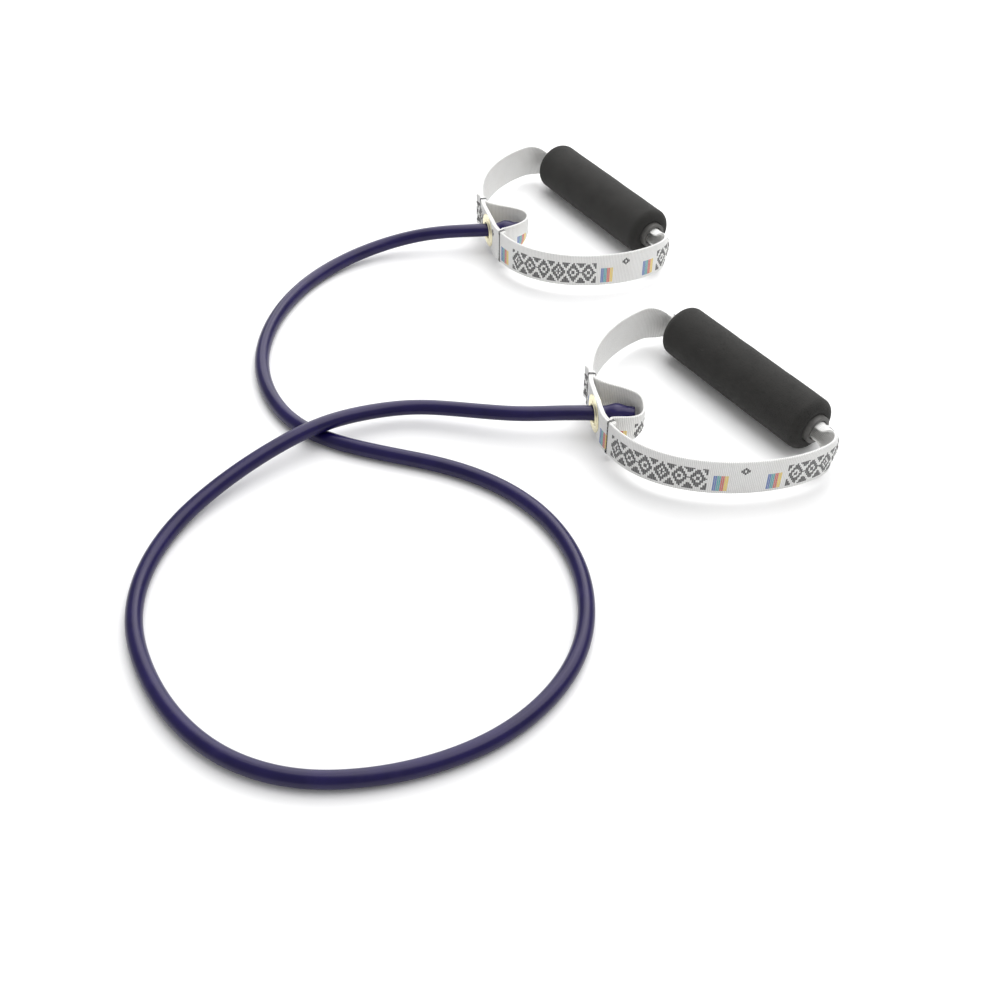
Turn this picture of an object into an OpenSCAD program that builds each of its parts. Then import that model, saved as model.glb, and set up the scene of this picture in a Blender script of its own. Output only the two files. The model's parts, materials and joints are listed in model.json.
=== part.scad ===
// Exercise tube with a swivelling soft-grip handle at each end, as it lies on a flat floor.
// +Z is up, the floor is z = 0, and the origin is below the middle of the two handles.
// Each handle is one strip of webbing, sewn round the tube's end and led through the grip.

/* [Tube] */
// Outer diameter of the latex tube
tube_d = 9.5; // [7.5:0.5:11.5]
// Bore of the latex tube
tube_bore = 5; // [3:0.5:6]
// Diameter of the ball plug that swells each tube end
plug_d = 8.6; // [7:0.2:10]
// Wall of the tube where it is stretched over the plug
bulge_wall = 2.2; // [1.6:0.1:3]
// From the eyelet's front to the middle of the plug
plug_at = 14; // [12:0.5:18]
// From the eyelet's front to the cut end of the tube
tail_at = 25; // [22:0.5:32]

/* [Webbing] */
// Width of the webbing
web_w = 25; // [20:0.5:32]
// Thickness of one layer of webbing
web_t = 1.4; // [1:0.1:1.8]
// Turn of the webbing's section where it is curled inside the grip, in degrees
curl_turn = 265; // [220:5:290]
// From the eyelet's centre to each row of stitches
stitch_reach = 24; // [20:1:30]
// Sewn margin beyond each row of stitches
seam = 3; // [2:0.5:5]
// Free end of the outer layer beyond the sewn margin above
free_end = 6; // [4:1:14]
// Turn between the tube's axis and the sewn panel's normal, in degrees
panel_skew = 12; // [0:1:13]

/* [Eyelet] */
// Radial room for the tube to turn in the eyelet
eyelet_gap = 1; // [0.9:0.1:2]
// Wall of the eyelet's barrel
barrel_wall = 0.6; // [0.4:0.1:1]
// Margin of webbing outside the eyelet's flange
flange_margin = 0.6; // [0.3:0.1:3]
// Height of the eyelet's rolled flange
flange_h = 1.2; // [0.8:0.1:2]
// Thickness of the washer behind the webbing
washer_t = 0.7; // [0.5:0.1:1.2]

/* [Stitches] */
// Thickness of the sewing thread
thread_t = 0.5; // [0.3:0.1:0.8]
// Width of one row of stitches
thread_w = 1; // [0.6:0.1:2]

/* [Grip] */
// Outer diameter of the foam grip
foam_d = 35.5; // [28:0.5:44]
// Length of the foam grip
foam_l = 124; // [100:1:150]
// Rounding of the foam's ends
foam_edge = 5.5; // [2:0.5:7]
// Wall of the core tube inside the foam
core_wall = 2.6; // [1.5:0.1:3.5]
// Length of core that shows at each end of the foam
core_over = 3.5; // [1:0.5:8]
// Radial room between the core's bore and the curled webbing
core_gap = 0.6; // [0.4:0.1:1.5]

/* [Hidden] */
$fn = 64;

// Heights and radii that follow from the sizes above
tube_r = tube_d / 2;
axis_z = foam_d / 2;
bulge_r = plug_d / 2 + bulge_wall;
bulge_half = 8;
plug_gap = 0.05;
curl_r = web_w / (curl_turn * PI / 180);
core_bore = 2 * (curl_r + web_t / 2 + core_gap);
core_d = core_bore + 2 * core_wall;
panel_t = 2 * web_t;
barrel_r = tube_r + eyelet_gap;
flange_r = web_w / 2 - flange_margin;
sewn_gap = 0.05;
// The barrel passes through both layers and the washer, and its lip is rolled over the washer
lip_w = 1.2;
lip_h = 0.5;
barrel_end = panel_t + washer_t + lip_h;
barrel_mid = (barrel_end - flange_h / 2) / 2;
// The washer is this much smaller than the flange in radius
washer_inset = 1;
// The panel is flat under the eyelet and bends towards the grip between there and the sewn margins.
// Its two layers and the pocket lie at these depths behind its outer face.
flat_half = web_w / 2;
bend_length = stitch_reach - seam - flat_half;
outer_layer = 0.5 * web_t;
inner_layer = 1.5 * web_t;
pocket_layer = 2.5 * web_t;
// Cutting shapes run past the faces that they open by this much
past = 1;

// How each handle lies: the eyelet's centre, the tube's heading there, the grip's middle and turn,
// the bend of the panel's upper and lower ends, how far the upper and lower straps run on at the
// panel and at the grip, and how far the pocket's back runs on above and below the tube
front = [[-35, -130], -2, [63, -93], -55, [12, 20], [54, 14], [69, 44], [11, 24]];
rear = [[-102, 80], 4, [-15, 126], -57, [8, 16], [62, 15], [66, 43], [11, 11]];
function eye(h) = h[0];
function heading(h) = h[1];
function grip_at(h) = h[2];
function grip_turn(h) = h[3];
function bow(h, side) = side > 0 ? h[4][0] : h[4][1];
function upper_pull(h) = h[5];
function lower_pull(h) = h[6];
function pocket_run(h) = h[7];
function facing(h) = heading(h) + panel_skew;

// The tube runs straight for this far in front of each eyelet
lead = 16;
// Room between the two strands where the tube crosses over itself
cross_gap = 0.8;
up = axis_z - tube_r;
over = tube_d + cross_gap;
// The tube's route from the front handle to the rear one: x, y and the height of its underside
ROUTE = [
  [-80, -129, 0.86 * up], [-113, -122, 0.66 * up], [-147, -117, 0.56 * up],
  [-180, -124, 0.74 * over], [-204, -138, over], [-230, -158, 0.86 * over], [-257, -183, 0.44 * over],
  [-279, -213, 0.1 * over], [-290, -248, 0], [-289, -284, 0], [-276, -317, 0], [-255, -347, 0],
  [-227, -370, 0], [-193, -382, 0], [-158, -382, 0], [-124, -374, 0], [-92, -358, 0],
  [-66, -333, 0], [-50, -302, 0], [-46, -267, 0], [-53, -233, 0], [-70, -203, 0],
  [-95, -180, 0], [-126, -164, 0], [-160, -154, 0], [-193, -143, 0], [-222, -125, 0],
  [-242, -96, 0], [-252, -63, 0], [-252, -28, 0], [-244, 5, 0], [-228, 36, 0],
  [-203, 61, 0.14 * up], [-172, 75, 0.5 * up], [-143, 78, 0.9 * up]
];
rings_per_span = 2;
tube_sides = 12;

// --- Geometry helpers -------------------------------------------------------------------------

function unit(v) = v / norm(v);
function heading_vec(a) = [cos(a), sin(a)];
function turned(v, a) = [v.x * cos(a) - v.y * sin(a), v.x * sin(a) + v.y * cos(a)];
function bezier(p, t) = pow(1 - t, 3) * p[0] + 3 * t * pow(1 - t, 2) * p[1]
  + 3 * t * t * (1 - t) * p[2] + pow(t, 3) * p[3];
function bezier_dir(p, t) = unit(pow(1 - t, 2) * (p[1] - p[0]) + 2 * t * (1 - t) * (p[2] - p[1])
  + t * t * (p[3] - p[2]));
function catmull(a, b, c, d, t) = 0.5 * (2 * b + t * (c - a)
  + t * t * (2 * a - 5 * b + 4 * c - d) + pow(t, 3) * (3 * b - a - 3 * c + d));

// A closed tube through rings of equal length, with two triangles between neighbouring points
module skin(rings) {
  n = len(rings[0]);
  last = len(rings) - 1;
  polyhedron(
    points = [for (ring = rings) each ring],
    faces = concat(
      [[for (i = [0:n - 1]) i]],
      [for (k = [0:last - 1], i = [0:n - 1]) let (a = k * n + i, b = k * n + (i + 1) % n)
        each [[b, a, a + n], [b, a + n, b + n]]],
      [[for (i = [n - 1:-1:0]) last * n + i]]
    ),
    convexity = 8
  );
}

// A ribbon of even thickness that stands on edge along a path in plan
module ribbon(path, dirs) {
  side = [for (d = dirs) web_t / 2 * [-d.y, d.x]];
  n = len(path);
  translate([0, 0, -web_w / 2])
    linear_extrude(web_w)
      polygon(concat([for (i = [0:n - 1]) path[i] + side[i]],
                     [for (i = [n - 1:-1:0]) path[i] - side[i]]));
}

// Frame of the tube's end: +X runs along the tube into the handle, from the eyelet's front
module at_tube(h) translate([eye(h).x, eye(h).y, axis_z]) rotate([0, 0, heading(h)]) children();
// Frame of the sewn panel: +X is its normal, into the handle, and +Y runs to the upper stitches.
// It is turned from the tube's frame about the middle of the eyelet's barrel.
module at_panel(h) at_tube(h) translate([barrel_mid, 0, 0]) rotate([0, 0, panel_skew])
  translate([-barrel_mid, 0, 0]) children();
// Frame of the grip: +X runs along its axis, from the upper strap's end to the lower strap's
module at_grip(h) translate([grip_at(h).x, grip_at(h).y, axis_z]) rotate([0, 0, grip_turn(h)])
  children();
// Turns a shape made about +Z so that it lies about +X
module lay_along_x() rotate([0, 90, 0]) children();

// --- Tube -------------------------------------------------------------------------------------

function tube_mouth(h, s) = let (p = eye(h) + s * heading_vec(heading(h))) [p.x, p.y, axis_z];
tube_path = concat(
  [tube_mouth(front, -lead)], [for (p = ROUTE) [p.x, p.y, p.z + tube_r]], [tube_mouth(rear, -lead)]
);
// One more point past each end keeps the tube square to the pieces it meets
tube_guides = concat([tube_mouth(front, lead)], tube_path, [tube_mouth(rear, lead)]);
spans = len(tube_path) - 1;
tube_line = concat(
  [for (i = [0:spans - 1], k = [0:rings_per_span - 1])
    catmull(tube_guides[i], tube_guides[i + 1], tube_guides[i + 2], tube_guides[i + 3],
            k / rings_per_span)],
  [tube_path[spans]]
);
last_ring = len(tube_line) - 1;
function tube_dir(i) = i == 0 ? -1 * [each heading_vec(heading(front)), 0]
  : i == last_ring ? [each heading_vec(heading(rear)), 0]
  : unit(tube_line[i + 1] - tube_line[i - 1]);
function tube_ring(i) = let (d = tube_dir(i), side = unit(cross([0, 0, 1], d)), top = cross(d, side))
  [for (a = [0:360 / tube_sides:359]) tube_line[i] + tube_r * (cos(a) * side + sin(a) * top)];

module latex_tube() color("midnightblue")
  skin([for (i = [0:last_ring]) tube_ring(i)]);

// Radius of the tube's skin at a distance x from the eyelet's front
function end_radius(x) = abs(x - plug_at) < bulge_half
  ? tube_r + (bulge_r - tube_r) * (1 + cos(180 * (x - plug_at) / bulge_half)) / 2 : tube_r;

bulge_step = 1;
module tube_end(h) color("midnightblue") at_tube(h) lay_along_x() rotate_extrude()
  difference() {
    polygon(concat(
      [[0, -lead], [tube_r, -lead]],
      [for (x = [plug_at - bulge_half:bulge_step:plug_at + bulge_half]) [end_radius(x), x]],
      [[tube_r, tail_at], [0, tail_at]]
    ));
    translate([0, -lead]) square([tube_bore / 2, lead + tail_at]);
    translate([0, plug_at]) intersection() {
      circle(d = plug_d + 2 * plug_gap);
      translate([0, -plug_d]) square([plug_d, 2 * plug_d]);
    }
  }

module tube_plug(h) color("black") at_tube(h) translate([plug_at, 0, 0]) sphere(d = plug_d);

// --- Eyelet -----------------------------------------------------------------------------------

// The flange is a half-round roll, and its outline runs on round the barrel and the rolled lip
roll_step = 15;
module eyelet(h) color("gold") at_panel(h) lay_along_x() rotate_extrude() {
  roll_mid = (flange_r + barrel_r) / 2;
  roll_half = (flange_r - barrel_r) / 2;
  polygon(concat(
    [for (a = [0:roll_step:150]) [roll_mid + roll_half * cos(a), -flange_h * sin(a)]],
    [[barrel_r, -flange_h / 2], [barrel_r, barrel_end], [barrel_r + barrel_wall + lip_w, barrel_end],
     [barrel_r + barrel_wall + lip_w, panel_t + washer_t], [barrel_r + barrel_wall, panel_t + washer_t],
     [barrel_r + barrel_wall, 0]]
  ));
}

module eyelet_washer(h) color("goldenrod") at_panel(h) translate([panel_t, 0, 0]) lay_along_x()
  difference() {
    cylinder(h = washer_t, r = flange_r - washer_inset);
    translate([0, 0, -past]) cylinder(h = washer_t + 2 * past, r = barrel_r + barrel_wall + sewn_gap);
  }

// --- Webbing ----------------------------------------------------------------------------------

// A point of the panel at a depth behind its outer face and a distance along it from the flat part,
// above the tube where side is 1 and below it where side is -1, and the direction away from the tube
function panel_at(h, side, depth, s) = let (
    turn = bow(h, side), r = bend_length / (turn * PI / 180), a = turn * min(s / bend_length, 1),
    past_bend = max(0, s - bend_length))
  [r - (r - depth) * cos(a) + past_bend * sin(turn),
   side * (flat_half + (r - depth) * sin(a) + past_bend * cos(turn))];
function panel_dir(h, side) = [sin(bow(h, side)), side * cos(bow(h, side))];
sewn_start = bend_length;
row_at = bend_length + seam;
sewn_stop = bend_length + 2 * seam;

// Two sewn layers with the punched hole, and the outer layer's free end, which turns off by this
free_turn = 22;
// Share of the free end's length at which it bends outwards
free_bend = 0.3;
free_steps = 4;
bend_steps = 5;
module eyelet_panel(h) color("gainsboro") at_panel(h) {
  out = concat([for (i = [0:bend_steps]) i / bend_steps * bend_length], [sewn_stop]);
  back = [for (i = [len(out) - 1:-1:0]) out[i]];
  difference() {
    translate([0, 0, -web_w / 2]) linear_extrude(web_w) polygon(concat(
      [for (s = back) panel_at(h, -1, 0, s)], [for (s = out) panel_at(h, 1, 0, s)],
      [for (s = back) panel_at(h, 1, panel_t, s)], [for (s = out) panel_at(h, -1, panel_t, s)]
    ));
    translate([-past, 0, 0]) lay_along_x()
      cylinder(h = panel_t + 2 * past, r = barrel_r + barrel_wall + sewn_gap);
  }
  root = panel_at(h, 1, outer_layer, sewn_stop);
  dir = panel_dir(h, 1);
  bend = root + free_bend * free_end * dir;
  path = [root - web_t * dir, bend, bend, root + free_end * turned(dir, free_turn)];
  steps = [for (i = [0:free_steps]) i / free_steps];
  ribbon([for (t = steps) bezier(path, t)], [for (t = steps) bezier_dir(path, t)]);
}

// The pocket runs from the upper stitches round the tube's end to the lower stitches
pocket_steps = 14;
// Room between the tube's cut end and the pocket
tail_room = 2.4;
// How far and at what angle from the panel's normal the pocket leaves the sewn margins
leave_above = [10, -66];
leave_below = [8, 8];
module pocket(h) color("lightgray") at_panel(h) {
  back = [tail_at * cos(panel_skew) + tube_r * sin(panel_skew) + tail_room + web_t / 2,
          -tail_at * sin(panel_skew)];
  top = panel_at(h, 1, pocket_layer, sewn_start);
  low = panel_at(h, -1, pocket_layer, sewn_start);
  inward = [top, top + leave_above[0] * heading_vec(leave_above[1]), back + [0, pocket_run(h)[0]], back];
  outward = [back, back - [0, pocket_run(h)[1]], low + leave_below[0] * heading_vec(leave_below[1]), low];
  steps = [for (i = [1:pocket_steps - 1]) i / pocket_steps];
  ribbon(
    concat([panel_at(h, 1, pocket_layer, sewn_stop), top], [for (t = steps) bezier(inward, t)], [back],
           [for (t = steps) bezier(outward, t)], [low, panel_at(h, -1, pocket_layer, sewn_stop)]),
    concat([-1 * panel_dir(h, 1), unit(heading_vec(leave_above[1]) - panel_dir(h, 1))],
           [for (t = steps) bezier_dir(inward, t)], [[0, -1]], [for (t = steps) bezier_dir(outward, t)],
           [unit(panel_dir(h, -1) - heading_vec(leave_below[1])), panel_dir(h, -1)])
  );
}

// The loop leaves the panel's upper end, runs through the grip and comes back to its lower end.
// Its section curls from a flat strip to a C so that it passes through the core's bore.
core_half = foam_l / 2 + core_over;
// The curled strip runs straight out of the core before it turns and opens, so that its far side
// clears the core's rim: this much less than the curl's radius
rim_relief = 2.2;
lead_out = curl_r - rim_relief;
function panel_point(h, p) = eye(h)
  + turned([barrel_mid, 0] + turned(p - [barrel_mid, 0], panel_skew), heading(h));
function grip_point(h, p) = grip_at(h) + turned(p, grip_turn(h));
function upper_curve(h) = let (
    start = panel_point(h, panel_at(h, 1, inner_layer, sewn_stop)),
    stop = grip_point(h, [-core_half - lead_out, curl_r]))
  [start, start + upper_pull(h)[0] * turned(panel_dir(h, 1), facing(h)),
   stop - upper_pull(h)[1] * heading_vec(grip_turn(h)), stop];
function lower_curve(h) = let (
    start = grip_point(h, [core_half + lead_out, curl_r]),
    stop = panel_point(h, panel_at(h, -1, outer_layer, sewn_stop)))
  [start, start + lower_pull(h)[1] * heading_vec(grip_turn(h)),
   stop + lower_pull(h)[0] * turned(panel_dir(h, -1), facing(h)), stop];

// How far the section is curled, from almost 0 for flat to 1, at a distance s from where it opens
curl_length = 26;
flat = 0.001;
function curl(s) = s >= curl_length ? flat : max(flat, (1 + cos(180 * s / curl_length)) / 2);
// The section's points at curl k: the strip's outer face, then its inner face back again
section_steps = 8;
function section_point(k, w, off) = let (a = k * curl_turn * w / web_w, r = curl_r / k)
  [r - (r - off) * cos(a), (r - off) * sin(a)];
function section(k) = let (ws = [for (i = [0:section_steps]) web_w * (i / section_steps - 0.5)])
  concat([for (w = ws) section_point(k, w, -web_t / 2)],
         [for (i = [section_steps:-1:0]) section_point(k, ws[i], web_t / 2)]);
// A ring of the loop at plan point p, heading d, with its inner side to the right
function loop_ring(p, d, k) = [for (q = section(k)) [p.x + q.x * d.y, p.y - q.x * d.x, axis_z + q.y]];

side_steps = 22;
function loop_rings(h) = let (
    u = upper_curve(h), l = lower_curve(h), g = heading_vec(grip_turn(h)),
    ts = [for (i = [0:side_steps]) i / side_steps])
  concat(
    [for (t = ts) loop_ring(bezier(u, t), bezier_dir(u, t), curl(norm(bezier(u, t) - u[3])))],
    [for (t = ts) loop_ring(bezier(l, t), bezier_dir(l, t), curl(norm(bezier(l, t) - l[0])))]
  );

module strap_loop(h) color("whitesmoke") skin(loop_rings(h));

// Thread sewn through and round the whole stack, along the row above or below the tube
module stitches(h, side) color("dimgray") at_panel(h) translate(panel_at(h, side, 0, row_at))
  rotate([0, 0, -side * bow(h, side)]) translate([0, -thread_w / 2, 0]) difference() {
    translate([-thread_t, 0, -web_w / 2 - thread_t])
      cube([panel_t + web_t + 2 * thread_t, thread_w, web_w + 2 * thread_t]);
    translate([-sewn_gap / 2, -past, -web_w / 2 - sewn_gap / 2])
      cube([panel_t + web_t + sewn_gap, thread_w + 2 * past, web_w + sewn_gap]);
  }

// --- Grip -------------------------------------------------------------------------------------

module grip_core(h) color("dimgray") at_grip(h) lay_along_x() difference() {
  translate([0, 0, -core_half]) cylinder(h = 2 * core_half, d = core_d);
  translate([0, 0, -core_half - past]) cylinder(h = 2 * (core_half + past), d = core_bore);
}

module foam_grip(h) color("darkslategray") at_grip(h) lay_along_x() rotate_extrude() {
  half = foam_l / 2;
  inner = core_d / 2;
  outer = foam_d / 2;
  intersection() {
    translate([inner, -half]) square([outer - inner, foam_l]);
    union() {
      translate([0, -half]) square([outer - foam_edge, foam_l]);
      translate([0, foam_edge - half]) square([outer, foam_l - 2 * foam_edge]);
      for (end = [-1, 1])
        translate([outer - foam_edge, end * (half - foam_edge)]) circle(r = foam_edge);
    }
  }
}

latex_tube();
tube_end(front);  // front_tube_end
tube_plug(front);  // front_tube_plug
eyelet(front);  // front_eyelet
eyelet_washer(front);  // front_eyelet_washer
eyelet_panel(front);  // front_eyelet_panel
strap_loop(front);  // front_strap_loop
pocket(front);  // front_pocket
stitches(front, 1);  // front_upper_stitches
stitches(front, -1);  // front_lower_stitches
grip_core(front);  // front_grip_core
foam_grip(front);  // front_foam_grip
tube_end(rear);  // rear_tube_end
tube_plug(rear);  // rear_tube_plug
eyelet(rear);  // rear_eyelet
eyelet_washer(rear);  // rear_eyelet_washer
eyelet_panel(rear);  // rear_eyelet_panel
strap_loop(rear);  // rear_strap_loop
pocket(rear);  // rear_pocket
stitches(rear, 1);  // rear_upper_stitches
stitches(rear, -1);  // rear_lower_stitches
grip_core(rear);  // rear_grip_core
foam_grip(rear);  // rear_foam_grip
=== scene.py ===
"""Looks of an exercise tube with a swivelling soft-grip handle at each end.

Everything is in metres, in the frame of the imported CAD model: +Z is up and the floor is z = 0.
The handles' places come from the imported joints, and the tube's route repeats the CAD source's.
"""

import json
import logging
import math
from collections.abc import Sequence
from dataclasses import dataclass, field
from enum import Enum
from functools import partial, reduce

import bpy
import numpy as np
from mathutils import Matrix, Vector, noise


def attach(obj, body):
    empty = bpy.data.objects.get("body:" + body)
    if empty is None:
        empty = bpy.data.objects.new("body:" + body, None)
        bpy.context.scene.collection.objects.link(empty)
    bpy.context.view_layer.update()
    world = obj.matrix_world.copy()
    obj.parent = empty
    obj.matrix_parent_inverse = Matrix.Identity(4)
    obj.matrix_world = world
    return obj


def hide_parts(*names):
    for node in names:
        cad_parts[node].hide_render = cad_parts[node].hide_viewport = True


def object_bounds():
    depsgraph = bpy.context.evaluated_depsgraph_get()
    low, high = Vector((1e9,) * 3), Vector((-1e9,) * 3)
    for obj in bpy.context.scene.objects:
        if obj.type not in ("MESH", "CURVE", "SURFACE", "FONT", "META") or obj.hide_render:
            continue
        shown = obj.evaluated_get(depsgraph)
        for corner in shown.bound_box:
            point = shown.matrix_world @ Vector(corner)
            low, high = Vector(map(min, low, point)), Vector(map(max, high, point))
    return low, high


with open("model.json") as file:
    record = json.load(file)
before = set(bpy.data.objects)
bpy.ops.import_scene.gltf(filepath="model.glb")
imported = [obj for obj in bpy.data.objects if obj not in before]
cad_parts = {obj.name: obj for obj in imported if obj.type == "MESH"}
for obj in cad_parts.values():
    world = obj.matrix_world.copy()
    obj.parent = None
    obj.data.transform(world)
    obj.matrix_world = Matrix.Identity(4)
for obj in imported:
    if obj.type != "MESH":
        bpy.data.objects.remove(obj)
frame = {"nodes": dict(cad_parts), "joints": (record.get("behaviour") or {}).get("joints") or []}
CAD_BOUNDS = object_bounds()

MM = 0.001
LOG = logging.getLogger("exercise_tube")
Colour = tuple[float, float, float]


class Side(Enum):
    """The two handles, by the prefix of their CAD nodes, bodies and joints."""

    FRONT = "front"
    REAR = "rear"


class Slot(Enum):
    """The record's material slots."""

    LATEX = "latex"
    PLUG = "plug"
    BRASS = "brass"
    WEBBING = "webbing"
    THREAD = "thread"
    CORE = "core_plastic"
    FOAM = "foam"


class Row(Enum):
    """The two rows of stitches, by their side of the tube."""

    UPPER = 1
    LOWER = -1


class Face(Enum):
    """The two faces of the webbing: the woven pattern shows on one only."""

    PATTERNED = 0
    PLAIN = 1


# --- Plane and space geometry ------------------------------------------------------------------


def heading_vector(degrees: float) -> np.ndarray:
    """The unit vector in plan at an angle from +X."""
    return np.array([math.cos(math.radians(degrees)), math.sin(math.radians(degrees))])


def turned(points: np.ndarray, degrees: float) -> np.ndarray:
    """Plan points turned about the origin.

    Args:
        points: One point or an array of points, x and y last.
        degrees: The turn, anticlockwise.

    Returns:
        The turned points, in the same form.
    """
    c, s = heading_vector(degrees)
    return np.asarray(points) @ np.array([[c, s], [-s, c]])


def bezier(controls: Sequence[np.ndarray], steps: int = 400) -> np.ndarray:
    """Points along a cubic curve.

    Args:
        controls: The four control points.
        steps: The number of equal steps in the curve's parameter.

    Returns:
        steps + 1 points.
    """
    t = np.linspace(0.0, 1.0, steps + 1)[:, None]
    a, b, c, d = (np.asarray(p, float) for p in controls)
    return (1 - t) ** 3 * a + 3 * t * (1 - t) ** 2 * b + 3 * t**2 * (1 - t) * c + t**3 * d


def through(points: np.ndarray, steps: int) -> np.ndarray:
    """A smooth line through points, except the first and last, which only steer it.

    Args:
        points: The points, guides included.
        steps: The number of steps from each point to the next.

    Returns:
        The line's points, from the second given point to the last but one.
    """
    t = (np.arange(steps) / steps)[:, None]
    spans = [
        0.5 * (2 * b + t * (c - a) + t**2 * (2 * a - 5 * b + 4 * c - d) + t**3 * (3 * b - a - 3 * c + d))
        for a, b, c, d in zip(points, points[1:], points[2:], points[3:])
    ]
    return np.vstack([*spans, points[-2]])


def distances(line: np.ndarray) -> np.ndarray:
    """How far along a line each of its points is."""
    return np.concatenate([[0.0], np.cumsum(np.linalg.norm(np.diff(line, axis=0), axis=1))])


def sampled(line: np.ndarray, stations: np.ndarray) -> np.ndarray:
    """The points of a line at given distances along it."""
    along = distances(line)
    return np.column_stack([np.interp(stations, along, column) for column in line.T])


def directions(line: np.ndarray) -> np.ndarray:
    """The unit direction of a line at each of its points."""
    step = np.gradient(line, axis=0)
    return step / np.linalg.norm(step, axis=1, keepdims=True)


def eased(line: np.ndarray, reach: float) -> np.ndarray:
    """A line smoothed along its length, with its ends kept straight.

    Args:
        line: Evenly and finely spaced points.
        reach: The distance over which neighbours count.

    Returns:
        The same number of points.
    """
    step = np.linalg.norm(line[1] - line[0])
    count = int(3 * reach / step)
    offsets = np.arange(-count, count + 1)
    weights = np.exp(-0.5 * (offsets * step / reach) ** 2)
    weights /= weights.sum()
    before = line[0] + np.outer(np.arange(-count, 0), line[1] - line[0])
    after = line[-1] + np.outer(np.arange(1, count + 1), line[-1] - line[-2])
    padded = np.vstack([before, line, after])
    return np.column_stack([np.convolve(column, weights, mode="valid") for column in padded.T])


@dataclass(frozen=True)
class Placement:
    """A level frame of a sub-assembly: where its origin is, and the heading of its +X axis."""

    origin: np.ndarray
    turn: float

    def place(self, points: np.ndarray) -> np.ndarray:
        """Points of this frame, in the row's frame.

        Args:
            points: One point or an array of points, x, y and z last.

        Returns:
            The points, in the same form.
        """
        points = np.asarray(points, float)
        plan = turned(points[..., :2], self.turn)
        return np.concatenate([plan, points[..., 2:]], axis=-1) + self.origin

    def plan(self, x: float, y: float) -> np.ndarray:
        """One point of this frame in the row's plan."""
        return self.place(np.array([x, y, 0.0]))[:2]


# --- Meshes ------------------------------------------------------------------------------------


@dataclass
class Skin:
    """A closed surface through rings of equal length, with a flat UV map in metres."""

    rings: np.ndarray
    along: np.ndarray
    around: np.ndarray
    wraps: bool = False
    plain_from: int | None = None

    def build(self, name: str, materials: Sequence[bpy.types.Material]) -> bpy.types.Object:
        """Makes the mesh object.

        Args:
            name: The piece's name.
            materials: One material, or the patterned one and the plain one.

        Returns:
            The new object, smooth shaded.
        """
        count, sides = self.rings.shape[:2]
        last = count if self.wraps else count - 1
        i = np.arange(last)[:, None] * sides
        nxt = (np.arange(1, last + 1) % count)[:, None] * sides
        j = np.arange(sides)[None, :]
        k = (j + 1) % sides
        quads = np.stack([i + j, i + k, nxt + k, nxt + j], axis=-1).reshape(-1, 4)
        faces = quads.tolist()
        if not self.wraps:
            faces.append(list(range(sides - 1, -1, -1)))
            faces.append([(count - 1) * sides + n for n in range(sides)])
        mesh = bpy.data.meshes.new(name)
        mesh.from_pydata(self.rings.reshape(-1, 3).tolist(), [], faces)
        for material in materials:
            mesh.materials.append(material)
        if self.plain_from is not None:
            slots = np.where(np.arange(sides) < self.plain_from, Face.PATTERNED.value, Face.PLAIN.value)
            indices = np.tile(slots, last).tolist() + [Face.PLAIN.value] * (len(faces) - len(quads))
            mesh.polygons.foreach_set("material_index", indices)
        self._write_uv(mesh)
        finish_mesh(mesh)
        piece = bpy.data.objects.new(name, mesh)
        bpy.context.scene.collection.objects.link(piece)
        return piece

    def _write_uv(self, mesh: bpy.types.Mesh) -> None:
        """Writes how far along and around each corner is, in metres.

        Args:
            mesh: The mesh that has just been made from the rings.
        """
        flat = np.stack(np.broadcast_arrays(self.along[:, None], self.around), axis=-1).reshape(-1, 2)
        corners = np.zeros(len(mesh.loops), np.int32)
        mesh.loops.foreach_get("vertex_index", corners)
        layer = mesh.uv_layers.new(name=UV_NAME)
        layer.data.foreach_set("uv", flat[corners].astype(np.float32).ravel())


UV_NAME = "surface"
CREASE = math.radians(38)
PINHOLE = 0.02 * MM  # the radius at which an inner end closes


def finish_mesh(mesh: bpy.types.Mesh) -> None:
    """Turns a mesh's faces outwards and shades it smooth, apart from its true edges.

    Args:
        mesh: The mesh, which is changed in place.
    """
    mesh.update()
    count = len(mesh.polygons)
    centres, normals, areas = np.zeros(3 * count), np.zeros(3 * count), np.zeros(count)
    mesh.polygons.foreach_get("center", centres)
    mesh.polygons.foreach_get("normal", normals)
    mesh.polygons.foreach_get("area", areas)
    if ((centres * normals).reshape(-1, 3).sum(axis=1) * areas).sum() < 0:
        mesh.flip_normals()
    mesh.shade_smooth()
    mesh.set_sharp_from_angle(angle=CREASE)
    mesh.update()


def tube_rings(line: np.ndarray, radii: np.ndarray, sides: int) -> np.ndarray:
    """Round rings square to a line, turned as little as possible from one to the next.

    Args:
        line: The centres, which may come back along themselves.
        radii: The radius at each centre.
        sides: The number of points round each ring.

    Returns:
        An array of rings by points by coordinates.
    """
    heading = directions(line)
    normal = np.cross(heading[0], [0.0, 0.0, 1.0])
    if np.linalg.norm(normal) < 0.1:
        normal = np.cross(heading[0], [0.0, 1.0, 0.0])
    rings = np.empty((len(line), sides, 3))
    angles = np.linspace(0.0, 2 * math.pi, sides, endpoint=False)[:, None]
    for i, (centre, direction) in enumerate(zip(line, heading)):
        normal = normal - direction * (normal @ direction)
        normal /= np.linalg.norm(normal)
        side = np.cross(direction, normal)
        rings[i] = centre + radii[i] * (np.cos(angles) * normal + np.sin(angles) * side)
    return rings


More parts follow.
